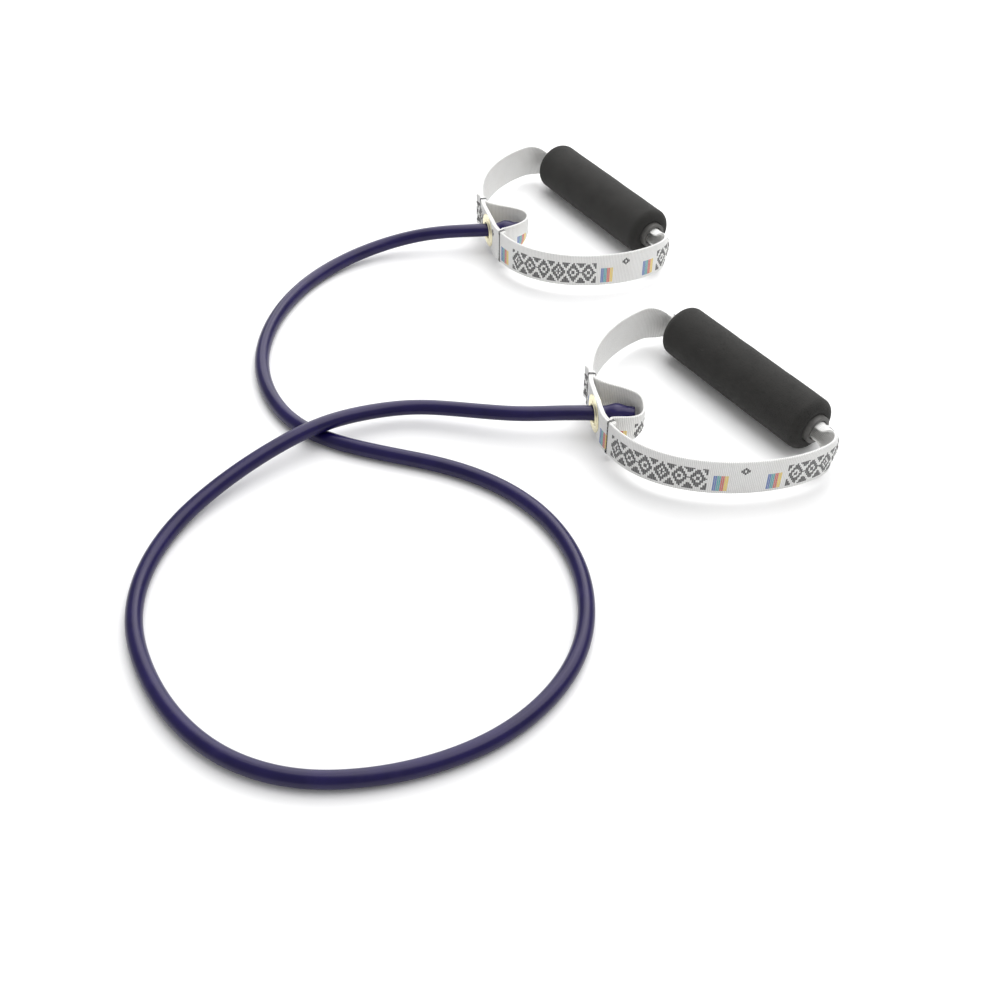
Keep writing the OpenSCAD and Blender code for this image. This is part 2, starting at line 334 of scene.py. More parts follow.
def lathe_rings(profile: np.ndarray, placement: Placement, sides: int) -> np.ndarray:
    """A closed outline turned about a placement's X axis.

    Args:
        profile: Points of x and radius, once round the outline.
        placement: Where the part lies.
        sides: The number of places round the axis.

    Returns:
        An array with one ring, the whole outline, for each place round the axis.
    """
    angles = np.linspace(0.0, 2 * math.pi, sides, endpoint=False)[:, None]
    x = np.broadcast_to(profile[:, 0], (sides, len(profile)))
    y, z = profile[:, 1] * np.cos(angles), profile[:, 1] * np.sin(angles)
    return placement.place(np.stack([x, y, z], axis=-1))


def arc(centre: tuple[float, float], radii: tuple[float, float], start: float, stop: float,
        steps: int) -> list[tuple[float, float]]:
    """Points on part of an ellipse.

    Args:
        centre: The ellipse's middle.
        radii: Its two half widths.
        start: The first point's angle, in degrees.
        stop: The last point's angle, in degrees.
        steps: The number of steps between them.

    Returns:
        steps + 1 points.
    """
    angles = np.radians(np.linspace(start, stop, steps + 1))
    return [(centre[0] + radii[0] * math.cos(a), centre[1] + radii[1] * math.sin(a)) for a in angles]


# --- Finishes ----------------------------------------------------------------------------------


class Graph:
    """A material's node tree, with short calls to add to it."""

    def __init__(self, name: str) -> None:
        """Makes a material with one Principled shader.

        Args:
            name: The material's name.
        """
        self.material = bpy.data.materials.new(name)
        self.material.use_nodes = True
        self.tree = self.material.node_tree
        self.tree.nodes.clear()
        self.shader = self.add("ShaderNodeBsdfPrincipled")
        output = self.add("ShaderNodeOutputMaterial")
        self.tree.links.new(self.shader.outputs["BSDF"], output.inputs["Surface"])

    def add(self, kind: str, **settings: object) -> bpy.types.Node:
        """Adds a node and sets its properties.

        Args:
            kind: The node's type.
            settings: Its properties, by name.

        Returns:
            The new node.
        """
        node = self.tree.nodes.new(kind)
        for key, value in settings.items():
            setattr(node, key, value)
        return node

    def put(self, socket: bpy.types.NodeSocket, value: object) -> None:
        """Links a socket to another node's output, or sets its own value.

        Args:
            socket: The input to feed.
            value: Another node's output, a number or a colour.
        """
        if isinstance(value, bpy.types.NodeSocket):
            self.tree.links.new(value, socket)
        elif isinstance(value, tuple) and len(value) == 3 and socket.type == "RGBA":
            socket.default_value = (*value, 1.0)
        else:
            socket.default_value = value

    def shade(self, **inputs: object) -> None:
        """Sets or links the shader's inputs, by their names with _ for a space."""
        for key, value in inputs.items():
            self.put(self.shader.inputs[key.replace("_", " ")], value)

    def math(self, operation: str, *values: object) -> bpy.types.NodeSocket:
        """One arithmetic step.

        Args:
            operation: The operation's name.
            values: Numbers or outputs, in order.

        Returns:
            The result.
        """
        node = self.add("ShaderNodeMath", operation=operation)
        for socket, value in zip(node.inputs, values):
            self.put(socket, value)
        return node.outputs[0]

    def total(self, *values: object) -> bpy.types.NodeSocket:
        """The sum of several values."""
        return reduce(partial(self.math, "ADD"), values)

    def product(self, *values: object) -> bpy.types.NodeSocket:
        """The product of several values."""
        return reduce(partial(self.math, "MULTIPLY"), values)

    def within(self, value: object, low: float, high: float) -> bpy.types.NodeSocket:
        """1 where a value lies between two others, else 0."""
        return self.product(self.math("GREATER_THAN", value, low), self.math("LESS_THAN", value, high))

    def either(self, *masks: object) -> bpy.types.NodeSocket:
        """The highest of several masks."""
        return reduce(partial(self.math, "MAXIMUM"), masks)

    def mixed(self, share: object, first: object, second: object) -> bpy.types.NodeSocket:
        """A colour between two others.

        Args:
            share: How much of the second colour shows, from 0 to 1.
            first: A colour.
            second: Another colour.

        Returns:
            The mixed colour.
        """
        node = self.add("ShaderNodeMix", data_type="RGBA")
        self.put(node.inputs["Factor"], share)
        self.put(node.inputs[6], first)
        self.put(node.inputs[7], second)
        return node.outputs[2]

    def between(self, value: object, low: float, high: float, new_low: float = 0.0,
                new_high: float = 1.0) -> bpy.types.NodeSocket:
        """A value mapped from one range to another, and held inside it.

        Args:
            value: The value to map.
            low: Where the first range starts.
            high: Where the first range ends.
            new_low: Where the new range starts.
            new_high: Where the new range ends.

        Returns:
            The mapped value.
        """
        node = self.add("ShaderNodeMapRange")
        for index, number in enumerate((value, low, high, new_low, new_high)):
            self.put(node.inputs[index], number)
        return node.outputs[0]

    def place(self) -> bpy.types.NodeSocket:
        """The surface's place in the row's frame, in metres."""
        return self.add("ShaderNodeTexCoord").outputs["Object"]

    def surface(self) -> tuple[bpy.types.NodeSocket, bpy.types.NodeSocket]:
        """How far along and around a swept surface, in metres.

        Returns:
            The two distances.
        """
        node = self.add("ShaderNodeSeparateXYZ")
        self.put(node.inputs[0], self.add("ShaderNodeUVMap", uv_map=UV_NAME).outputs[0])
        return node.outputs[0], node.outputs[1]

    def joined(self, x: object, y: object, z: object = 0.0) -> bpy.types.NodeSocket:
        """A vector from three values.

        Args:
            x: The first value.
            y: The second value.
            z: The third value.

        Returns:
            The vector.
        """
        node = self.add("ShaderNodeCombineXYZ")
        for socket, value in zip(node.inputs, (x, y, z)):
            self.put(socket, value)
        return node.outputs[0]

    def grain(self, size: float, detail: float = 2.0, vector: object = None,
              roughness: float = 0.5) -> bpy.types.NodeSocket:
        """Cloudy noise from 0 to 1 whose features are about size metres across.

        Args:
            size: The features' size in metres.
            detail: How many finer layers it has.
            vector: Where it is read, or None for the surface's place.
            roughness: How strong the finer layers are.

        Returns:
            The noise.
        """
        node = self.add("ShaderNodeTexNoise")
        self.put(node.inputs["Vector"], vector or self.place())
        for key, value in (("Scale", 1.0 / size), ("Detail", detail), ("Roughness", roughness)):
            self.put(node.inputs[key], value)
        return node.outputs["Fac"]

    def cells(self, size: float, feature: str = "F1") -> bpy.types.NodeSocket:
        """The distance from the middles of random cells about size metres across.

        Args:
            size: The cells' size in metres.
            feature: Which distance it gives.

        Returns:
            The distance.
        """
        node = self.add("ShaderNodeTexVoronoi", feature=feature)
        self.put(node.inputs["Vector"], self.place())
        self.put(node.inputs["Scale"], 1.0 / size)
        return node.outputs["Distance"]

    def relief(self, height: object, depth: float, below: object = None) -> bpy.types.NodeSocket:
        """A bumped normal.

        Args:
            height: The relief, from 0 to 1.
            depth: Its real depth in metres.
            below: Another bumped normal that this one is laid over.

        Returns:
            The normal.
        """
        node = self.add("ShaderNodeBump")
        self.put(node.inputs["Height"], height)
        self.put(node.inputs["Distance"], depth)
        if below is not None:
            self.put(node.inputs["Normal"], below)
        return node.outputs[0]


@dataclass(frozen=True)
class LatexFinish:
    """Deep navy latex: satin, a little clouded inside, with faint draw lines and handling marks."""

    deep: Colour = (0.0030, 0.0012, 0.043)
    cloudy: Colour = (0.0065, 0.0035, 0.060)
    rubbed: Colour = (0.024, 0.018, 0.070)

    def material(self) -> bpy.types.Material:
        """Makes the finish.

        Returns:
            The material.
        """
        g = Graph("navy_latex")
        along, around = g.surface()
        cloud = g.grain(16 * MM, 3.0)
        lines = g.grain(1.2 * MM, 2.0, g.joined(g.product(along, 0.03), around))
        marks = g.between(g.grain(9 * MM, 4.0, roughness=0.6), 0.56, 0.78)
        colour = g.mixed(g.between(cloud, 0.35, 0.7), self.deep, self.cloudy)
        g.shade(
            Base_Color=g.mixed(g.product(marks, 0.30), colour, self.rubbed),
            Roughness=g.total(0.27, g.product(cloud, 0.05), g.product(marks, 0.10)),
            Subsurface_Weight=0.06,
            Subsurface_Radius=(0.2, 0.16, 1.0),
            Subsurface_Scale=1.2 * MM,
            Specular_IOR_Level=0.36,
            Specular_Tint=(1.0, 0.93, 1.0, 1.0),
            Normal=g.relief(lines, 0.03 * MM),
        )
        return g.material


@dataclass(frozen=True)
class FoamFinish:
    """Charcoal closed-cell foam: matt, finely pitted and slightly mottled, with painted shade in its pits.
    """

    dark: Colour = (0.0025, 0.0024, 0.0023)
    light: Colour = (0.027, 0.0262, 0.0248)
    cell: float = 0.8 * MM

    def material(self) -> bpy.types.Material:
        """Makes the finish.

        Returns:
            The material.
        """
        g = Graph("charcoal_foam")
        pores = g.between(g.cells(self.cell), 0.06, 0.42)
        grit = g.grain(0.55 * MM, 3.0, roughness=0.65)
        mottle = g.grain(9 * MM, 4.0, roughness=0.6)
        rubbed = g.between(g.grain(26 * MM, 3.0), 0.48, 0.7)
        # The pores darken the colour in the pits that their relief sinks: painted shade in the pores.
        tone = g.total(g.product(pores, 0.35), g.product(grit, 0.35), g.product(mottle, 0.30))
        colour = g.mixed(g.between(tone, 0.34, 0.68), self.dark, self.light)
        g.shade(
            Base_Color=g.mixed(g.product(rubbed, 0.18), colour, (0.036, 0.035, 0.033)),
            Roughness=g.total(0.86, g.product(grit, 0.1)),
            Specular_IOR_Level=0.2,
            Sheen_Weight=0.06,
            Sheen_Roughness=0.6,
            Normal=g.relief(pores, 0.22 * MM, g.relief(grit, 0.20 * MM)),
        )
        return g.material


@dataclass(frozen=True)
class PlasticFinish:
    """Satin moulded plastic with drawn lines and small scuffs."""

    name: str
    tone: Colour
    worn: Colour
    roughness: float = 0.42

    def material(self) -> bpy.types.Material:
        """Makes the finish.

        Returns:
            The material.
        """
        g = Graph(self.name)
        fine = g.grain(0.5 * MM, 3.0)
        scuffs = g.between(g.grain(2.2 * MM, 5.0, roughness=0.75), 0.57, 0.7)
        g.shade(
            Base_Color=g.mixed(g.product(scuffs, 0.5), self.tone, self.worn),
            Roughness=g.total(self.roughness, g.product(fine, 0.12), g.product(scuffs, 0.2)),
            Normal=g.relief(fine, 0.03 * MM),
        )
        return g.material


CORE_PLASTIC = PlasticFinish("core_plastic", (0.075, 0.073, 0.069), (0.16, 0.155, 0.15))
PLUG_NYLON = PlasticFinish("plug_nylon", (0.02, 0.02, 0.024), (0.07, 0.07, 0.08), 0.3)


@dataclass(frozen=True)
class BrassFinish:
    """Pale pressed brass, a little dull in random patches where it was handled."""

    bright: Colour = (0.93, 0.87, 0.62)
    dull: Colour = (0.74, 0.64, 0.38)

    def material(self) -> bpy.types.Material:
        """Makes the finish.

        Returns:
            The material.
        """
        g = Graph("pale_brass")
        tarnish = g.between(g.grain(3.5 * MM, 4.0, roughness=0.65), 0.45, 0.72)
        scratches = g.grain(0.5 * MM, 4.0, roughness=0.7)
        g.shade(
            Base_Color=g.mixed(g.product(tarnish, 0.55), self.bright, self.dull),
            Metallic=1.0,
            Roughness=g.total(0.27, g.product(tarnish, 0.18), g.product(scratches, 0.12)),
            Normal=g.relief(scratches, 0.02 * MM),
        )
        return g.material


@dataclass(frozen=True)
class ThreadFinish:
    """Twisted charcoal sewing thread, painted lighter on each ply's crown and darker between plies."""

    tone: Colour = (0.022, 0.022, 0.026)
    # the colour laid on each ply's crown: a painted highlight, with painted shade left in the grooves
    ply_crown_light: Colour = (0.075, 0.075, 0.085)
    lay: float = 0.55 * MM

    def material(self) -> bpy.types.Material:
        """Makes the finish.

        Returns:
            The material.
        """
        g = Graph("sewing_thread")
        along, around = g.surface()
        twist = g.math("FRACT", g.total(g.math("DIVIDE", along, self.lay), g.product(around, 1.3 / MM)))
        ply = g.math("SINE", g.product(twist, math.pi))
        g.shade(
            # The colour follows the ply's relief: painted light on the crowns and painted shade in the
            # grooves.
            Base_Color=g.mixed(g.product(ply, 0.6), self.tone, self.ply_crown_light),
            Roughness=g.total(0.62, g.product(g.grain(0.3 * MM), 0.2)),
            Sheen_Weight=0.2,
            Normal=g.relief(ply, 0.08 * MM),
        )
        return g.material


@dataclass(frozen=True)
class WebbingFinish:
    """Off-white ribbed webbing, with painted shade in the grooves of its weave, and woven diamonds and
    short colour bars on its outer face.
    """

    white: Colour = (0.88, 0.878, 0.865)
    # the colour of the low parts between ribs and warp strands: painted shade in the weave's grooves
    groove_shade: Colour = (0.40, 0.398, 0.392)
    ink: Colour = (0.022, 0.022, 0.024)
    bars: tuple[Colour, ...] = (
        (0.012, 0.10, 0.42), (0.0, 0.33, 0.36), (0.62, 0.045, 0.02), (0.85, 0.60, 0.06)
    )
    rib: float = 1.1 * MM
    warp: float = 0.62 * MM
    cell: float = 0.92 * MM
    period: float = 112 * MM
    run: tuple[float, float] = (16 * MM, 80 * MM)
    diamond: float = 10.67 * MM
    band: tuple[float, float] = (-9.7 * MM, 6.9 * MM)
    bar_starts: tuple[float, ...] = (3.3 * MM, 83.6 * MM)
    bar_top: float = 1.5 * MM
    mark: tuple[float, float] = (102 * MM, 5.5 * MM)

    def material(self, face: Face) -> bpy.types.Material:
        """Makes the finish of one face.

        Args:
            face: Which face of the webbing it is for.

        Returns:
            The material.
        """
        g = Graph(f"webbing_{face.name.lower()}")
        along, across = g.surface()
        rib_place = g.math("DIVIDE", along, self.rib)
        crown = g.math("SINE", g.product(g.math("FRACT", rib_place), math.pi))
        row_shift = g.product(g.math("FLOOR", rib_place), 0.5)
        shifted = g.total(g.math("DIVIDE", across, self.warp), row_shift)
        strand = g.math("SINE", g.product(g.math("FRACT", shifted), math.pi))
        fuzz = g.grain(0.25 * MM, 3.0)
        soiled = g.between(g.grain(18 * MM, 4.0, roughness=0.6), 0.42, 0.75)
        height = g.product(g.math("POWER", crown, 0.6), g.total(0.45, g.product(strand, 0.55)))
        # The colour follows the relief: painted shade darkens the grooves between ribs and between strands.
        colour = g.mixed(g.between(height, 0.02, 0.50), self.groove_shade, self.white)
        colour = g.mixed(g.product(soiled, 0.16), colour, (0.52, 0.49, 0.44))
        colour = g.mixed(g.product(fuzz, 0.10), colour, (0.95, 0.95, 0.94))
        if face is Face.PATTERNED:
            colour = self._woven(g, colour, along, across, crown)
        g.shade(
            Base_Color=colour,
            Roughness=g.total(0.74, g.product(fuzz, 0.14)),
            Specular_IOR_Level=0.3,
            Sheen_Weight=0.18,
            Sheen_Roughness=0.45,
            Normal=g.relief(height, 0.16 * MM, g.relief(fuzz, 0.04 * MM)),
        )
        return g.material

    def _woven(self, g: Graph, ground: object, along: object, across: object,
               crown: object) -> bpy.types.NodeSocket:
        """Lays the woven pattern over the ground colour, as one dash in each cell of the weave.

        Args:
            g: The node tree.
            ground: The colour of the plain weave.
            along: How far along the webbing.
            across: How far across the webbing.
            crown: How high the rib stands, from 0 to 1.

        Returns:
            The colour with the pattern.
        """
        cell_place = g.math("DIVIDE", across, self.cell)
        u = g.product(g.total(g.math("FLOOR", g.math("DIVIDE", along, self.rib)), 0.5), self.rib)
        v = g.product(g.total(g.math("FLOOR", cell_place), 0.5), self.cell)
        m = g.math("FLOORED_MODULO", u, self.period)
        low, high = self.band
        lozenge = g.math("FRACT", g.math("DIVIDE", g.total(m, -self.run[0]), self.diamond))
        sideways = g.product(g.math("ABSOLUTE", g.total(lozenge, -0.5)), 2.0)
        upright = g.product(g.math("ABSOLUTE", g.total(v, -(low + high) / 2)), 2 / (high - low))
        reach = g.total(sideways, upright)
        shapes = g.either(
            g.math("LESS_THAN", reach, 0.26),
            g.within(reach, 0.50, 0.96),
            g.math("GREATER_THAN", reach, 1.36),
        )
        dark = g.product(shapes, g.math("LESS_THAN", upright, 1.0), g.within(m, *self.run))
        centre, size = self.mark
        spot = g.total(g.math("ABSOLUTE", g.total(m, -centre)), g.math("ABSOLUTE", g.total(v, -size)))
        dark = g.either(dark, g.within(spot, 0.9 * MM, 3.0 * MM))
        dash = g.product(
            g.between(crown, 0.25, 0.6),
            g.between(g.math("SINE", g.product(g.math("FRACT", cell_place), math.pi)), 0.12, 0.5),
        )
        width = 2 * self.rib * len(self.bars)
        for start in self.bar_starts:
            number = g.math("DIVIDE", g.total(m, -start), 2 * self.rib)
            for index, tone in enumerate(self.bars):
                bar = g.product(
                    g.within(number, index, index + 1), g.within(m, start, start + width),
                    g.within(v, low, self.bar_top),
                )
                ground = g.mixed(g.product(bar, g.total(0.25, g.product(dash, 0.72))), ground, tone)
        return g.mixed(g.product(dark, g.total(0.55, g.product(dash, 0.43))), ground, self.ink)


@dataclass
class Finishes:
    """Every finish of the object, made once."""

    latex: bpy.types.Material = field(default_factory=lambda: LatexFinish().material())
    foam: bpy.types.Material = field(default_factory=lambda: FoamFinish().material())
    brass: bpy.types.Material = field(default_factory=lambda: BrassFinish().material())
    thread: bpy.types.Material = field(default_factory=lambda: ThreadFinish().material())
    core: bpy.types.Material = field(default_factory=lambda: CORE_PLASTIC.material())
    plug: bpy.types.Material = field(default_factory=lambda: PLUG_NYLON.material())
    webbing: list[bpy.types.Material] = field(
        default_factory=lambda: [WebbingFinish().material(face) for face in Face]
    )


def mounted(piece: bpy.types.Object, body: str, slot: Slot, *nodes: str) -> bpy.types.Object:
    """Rides a piece on its body and hides the CAD nodes it stands for.

    Args:
        piece: The finished piece.
        body: The CAD body that it moves with.
        slot: The record's material slot; not used.
        nodes: The CAD nodes that it replaces.

    Returns:
        The piece.
    """
    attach(piece, body)
    if nodes:
        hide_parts(*nodes)
    LOG.info("%s: %d faces, on %s", piece.name, len(piece.data.polygons), body)
    return piece


# --- The studio --------------------------------------------------------------------------------


@dataclass
class Studio:
    """The camera, a plain pale floor and soft light."""

    camera_at: tuple[float, float, float] = (-0.093, -0.692, 0.4946)
    camera_pitch: float = 45.5
    lens: float = 42.81
    sensor: float = 36.0
    floor_size: float = 8.0
    sky: float = 0.52

    def build(self) -> None:
        """Makes everything in the studio."""
        self._camera()
        self._floor()
        self._light("key_light", Vector((0.35, 0.30, 1.50)), 1.9, 30.0)
        self._light("back_light", Vector((-0.1, 2.1, 1.25)), 2.4, 42.0)
        world = bpy.data.worlds.new("studio")
        world.use_nodes = True
        background = world.node_tree.nodes["Background"]
        background.inputs["Color"].default_value = (1.0, 1.0, 1.0, 1.0)
        background.inputs["Strength"].default_value = self.sky
        bpy.context.scene.world = world
        bpy.context.scene.view_settings.view_transform = "Standard"

    def _camera(self) -> None:
        """Makes the camera."""
        data = bpy.data.cameras.new("camera")
        data.lens = self.lens
        data.sensor_width = self.sensor
        camera = bpy.data.objects.new("camera", data)
        camera.location = self.camera_at
        camera.rotation_euler = (math.radians(self.camera_pitch), 0.0, 0.0)
        bpy.context.scene.collection.objects.link(camera)
        bpy.context.scene.camera = camera

    def _floor(self) -> None:
        """Makes the floor, with the faint unevenness of paper."""
        g = Graph("white_paper")
        g.shade(
            Base_Color=g.mixed(g.grain(0.4, 2.0), (0.89, 0.89, 0.895), (0.91, 0.91, 0.91)),
            Roughness=0.62,
            Specular_IOR_Level=0.25,
        )
        half = self.floor_size / 2
        mesh = bpy.data.meshes.new("floor")
        corners = [(-half, -half, 0), (half, -half, 0), (half, half, 0), (-half, half, 0)]
        mesh.from_pydata(corners, [], [(0, 1, 2, 3)])
        mesh.materials.append(g.material)
        floor = bpy.data.objects.new("floor", mesh)
        bpy.context.scene.collection.objects.link(floor)

    def _light(self, name: str, place: Vector, size: float, power: float) -> None:
        """Makes one soft square light that faces the object's middle.

        Args:
            name: The light's name.
            place: Where it stands.
            size: Its side in metres.
            power: Its power in watts.
        """
        low, high = CAD_BOUNDS
        data = bpy.data.lights.new(name, "AREA")
        data.size = size
        data.energy = power
        light = bpy.data.objects.new(name, data)
        light.location = place
        light.rotation_mode = "QUATERNION"
        light.rotation_quaternion = (place - (low + high) / 2).to_track_quat("Z", "Y")
        bpy.context.scene.collection.objects.link(light)


# --- The tube ----------------------------------------------------------------------------------


@dataclass
class TubeSizes:
    """Sizes of the latex tube and the ball plugs that swell its ends."""

    diameter: float = 9.5 * MM
    bore: float = 5.0 * MM
    bulge_radius: float = 6.5 * MM
    bulge_half: float = 8.0 * MM
    plug_at: float = 14.0 * MM
    tail_at: float = 25.0 * MM
    lead: float = 16.0 * MM

    @property
    def radius(self) -> float:
        """Half the tube's diameter."""
        return self.diameter / 2


# The tube's route from the front handle to the rear one: x, y and the height of its underside
UP = 13.0  # at a handle, where the tube leaves the eyelet
OVER = 10.3  # where the tube lies on itself
ROUTE_MM = [
    (-80, -129, 0.86 * UP), (-113, -122, 0.66 * UP), (-147, -117, 0.56 * UP),
    (-180, -124, 0.74 * OVER), (-204, -138, OVER), (-230, -158, 0.86 * OVER), (-257, -183, 0.44 * OVER),
    (-279, -213, 0.1 * OVER), (-290, -248, 0), (-289, -284, 0), (-276, -317, 0), (-255, -347, 0),
    (-227, -370, 0), (-193, -382, 0), (-158, -382, 0), (-124, -374, 0), (-92, -358, 0),
    (-66, -333, 0), (-50, -302, 0), (-46, -267, 0), (-53, -233, 0), (-70, -203, 0),
    (-95, -180, 0), (-126, -164, 0), (-160, -154, 0), (-193, -143, 0), (-222, -125, 0),
    (-242, -96, 0), (-252, -63, 0), (-252, -28, 0), (-244, 5, 0), (-228, 36, 0),
    (-203, 61, 0.14 * UP), (-172, 75, 0.5 * UP), (-143, 78, 0.9 * UP),
]


@dataclass
class LatexTube:
    """The tube, one length of latex from cut end to cut end, with its ball plugs inside."""

    front: Placement
    rear: Placement
    finishes: Finishes
    sizes: TubeSizes = field(default_factory=TubeSizes)
    sides: int = 40
    ring_step: float = 1.6 * MM
    smoothing: float = 11 * MM
    mouth_depth: float = 6.2 * MM
    lip: float = 0.3 * MM

    def centreline(self) -> np.ndarray:
        """The tube's line, tail to tail, eased a little between the straight ends.

        Returns:
            Its points, one for each ring.
        """
        s = self.sizes
        route = np.array(ROUTE_MM) * MM
        route[:, 2] += s.radius
        front, rear = (
            [end.place((x, 0.0, 0.0)) for x in (s.tail_at, 0.0, -s.lead)] for end in (self.front, self.rear)
        )
        guides = [end.place((s.lead, 0.0, 0.0)) for end in (self.front, self.rear)]
        steering = np.vstack([guides[0], front[2], route, rear[2], guides[1]])
        free = through(steering, 24)
        line = np.vstack([front[0], front[1], free, rear[1], rear[0]])
        fine = sampled(line, np.arange(0.0, distances(line)[-1], 0.5 * MM))
        soft = eased(fine, self.smoothing)
        total = distances(soft)[-1]
        count = round(total / self.ring_step)
        return sampled(soft, np.linspace(0.0, total, count + 1))

    def radius_at(self, along: np.ndarray, total: float) -> np.ndarray:
        """The skin's radius at distances from the front tail, with the swell over each plug.

        Args:
            along: The distances.
            total: The tube's length.

        Returns:
            The radius at each.
        """
        s = self.sizes
        plug = s.tail_at - s.plug_at
        from_plug = np.minimum(np.abs(along - plug), np.abs(total - along - plug))
        swell = (1 + np.cos(math.pi * np.minimum(from_plug / s.bulge_half, 1.0))) / 2
        return s.radius + (s.bulge_radius - s.radius) * swell

    def build(self) -> bpy.types.Object:
        """Returns:
            The tube.
        """
        s = self.sizes
        line = self.centreline()
        along = distances(line)
        total = along[-1]
        mouth = np.array([
            (self.mouth_depth, PINHOLE), (self.mouth_depth, s.bore / 2), (self.lip, s.bore / 2),
            (0.0, s.bore / 2 + self.lip), (0.0, s.radius - self.lip),
        ])
        inner = along[(along > self.lip) & (along < total - self.lip)]
        stations = np.concatenate([mouth[:, 0], inner, total - mouth[::-1, 0]])
        radii = np.concatenate([mouth[:, 1], self.radius_at(inner, total), mouth[::-1, 1]])
        rings = self._rings(line, stations, radii)
        around = np.linspace(0.0, 2 * math.pi * s.radius, self.sides, endpoint=False)
        skin = Skin(rings, stations, np.broadcast_to(around, rings.shape[:2]))
        tube = skin.build("latex_tube_skin", [self.finishes.latex])
        mounted(tube, "tube", Slot.LATEX, "latex_tube", "front_tube_end", "rear_tube_end")
        plugs = [frame["nodes"][f"{side.value}_tube_plug"] for side in Side]
        for plug in plugs:
            plug.data.materials.clear()
            plug.data.materials.append(self.finishes.plug)
        tuple(self.front.origin)
        LOG.info("tube: %.3f m of latex", total)
        return tube

    def _rings(self, line: np.ndarray, stations: np.ndarray, radii: np.ndarray) -> np.ndarray:
        """Rings at stations that may come back along the line, all facing the line's own way.

        Args:
            line: The tube's centreline.
            stations: How far along it each ring is.
            radii: Each ring's radius.

        Returns:
            An array of rings by points by coordinates.
        """
        base = tube_rings(line, np.ones(len(line)), self.sides) - line[:, None, :]
        along = distances(line)
        columns = base.reshape(len(line), -1).T
        spokes = np.stack([np.interp(stations, along, column) for column in columns], axis=-1)
        spokes = spokes.reshape(len(stations), self.sides, 3)
        return sampled(line, stations)[:, None, :] + spokes * radii[:, None, None]


# --- The handles -------------------------------------------------------------------------------


@dataclass
class WebbingSizes:
    """Sizes of the webbing, its sewn panel and the eyelet that goes through it."""

    width: float = 25.0 * MM
    thickness: float = 1.3 * MM
    layer: float = 1.4 * MM
    curl_turn: float = 265.0
    curl_length: float = 26.0 * MM
    stitch_reach: float = 24.0 * MM
    seam: float = 3.0 * MM
    free_end: float = 6.0 * MM
    free_turn: float = 22.0
    free_bend: float = 0.3
    skew: float = 12.0
    tail_room: float = 2.4 * MM
    leave_above: tuple[float, float] = (10.0 * MM, -66.0)
    leave_below: tuple[float, float] = (8.0 * MM, 8.0)
    edge: float = 0.55 * MM
    rib_relief: float = 0.05 * MM
    selvedge_relief: float = 0.10 * MM

    @property
    def curl_radius(self) -> float:
        """The radius of the strip's middle where it is curled inside the grip."""
        return self.width / math.radians(self.curl_turn)

    @property
    def flat_half(self) -> float:
        """Half the length of the panel that stays flat under the eyelet."""
        return self.width / 2

    @property
    def bend_length(self) -> float:
        """The length of each bend between the flat part and a sewn margin."""
        return self.stitch_reach - self.seam - self.flat_half

    @property
    def sewn_stop(self) -> float:
        """From the flat part to the end of a sewn margin."""
        return self.bend_length + 2 * self.seam


@dataclass
class EyeletSizes:
    """Sizes of the brass eyelet and its washer."""

    bore: float = 5.75 * MM
    wall: float = 0.6 * MM
    flange: float = 11.9 * MM
    flange_height: float = 1.2 * MM
    washer_thickness: float = 0.7 * MM
    washer_inset: float = 1.0 * MM
    lip_width: float = 1.2 * MM
    lip_height: float = 0.5 * MM


@dataclass
class GripSizes:
    """Sizes of the foam grip and the core tube inside it."""

    foam_radius: float = 17.75 * MM
    foam_length: float = 124.0 * MM
    foam_edge: float = 5.5 * MM
    core_bore: float = 6.705 * MM
    core_radius: float = 9.305 * MM
    core_over: float = 3.5 * MM
    rim_relief: float = 2.2 * MM

    @property
    def core_half(self) -> float:
        """Half the core's length."""
        return self.foam_length / 2 + self.core_over


@dataclass(frozen=True)
class Drape:
    """How one handle's webbing lies.

    The lengths are how far a strap or the pocket's back runs on before it bends, and tuck is how
    far the pocket's lower edge is drawn in under the tube.
    """

    bow: dict[Row, float]
    upper: tuple[float, float]
    lower: tuple[float, float]
    pocket: tuple[float, float]
    tuck: float
    pattern_shift: float
    seed: int


DRAPES = {
    Side.FRONT: Drape({Row.UPPER: 12.0, Row.LOWER: 20.0}, (54 * MM, 14 * MM), (69 * MM, 44 * MM),
                      (11 * MM, 24 * MM), 11 * MM, 12 * MM, 11),
    Side.REAR: Drape({Row.UPPER: 8.0, Row.LOWER: 16.0}, (62 * MM, 15 * MM), (66 * MM, 43 * MM),
                     (11 * MM, 11 * MM), 6 * MM, 1 * MM, 29),
}


def joint_placement(name: str) -> Placement:
    """A frame on a packed joint, with +X along its axis.

    Args:
        name: The joint's name.

    Returns:
        The frame.
    """
    joint = next(j for j in frame["joints"] if j["name"] == name)
    x, y, _ = joint["axis"]
    return Placement(np.array(joint["pos_m"]), math.degrees(math.atan2(y, x)))


FLAT = 0.001  # the least curl, which keeps the section's radius finite
CLOSED = 0.9999  # the curl from which the section no longer changes


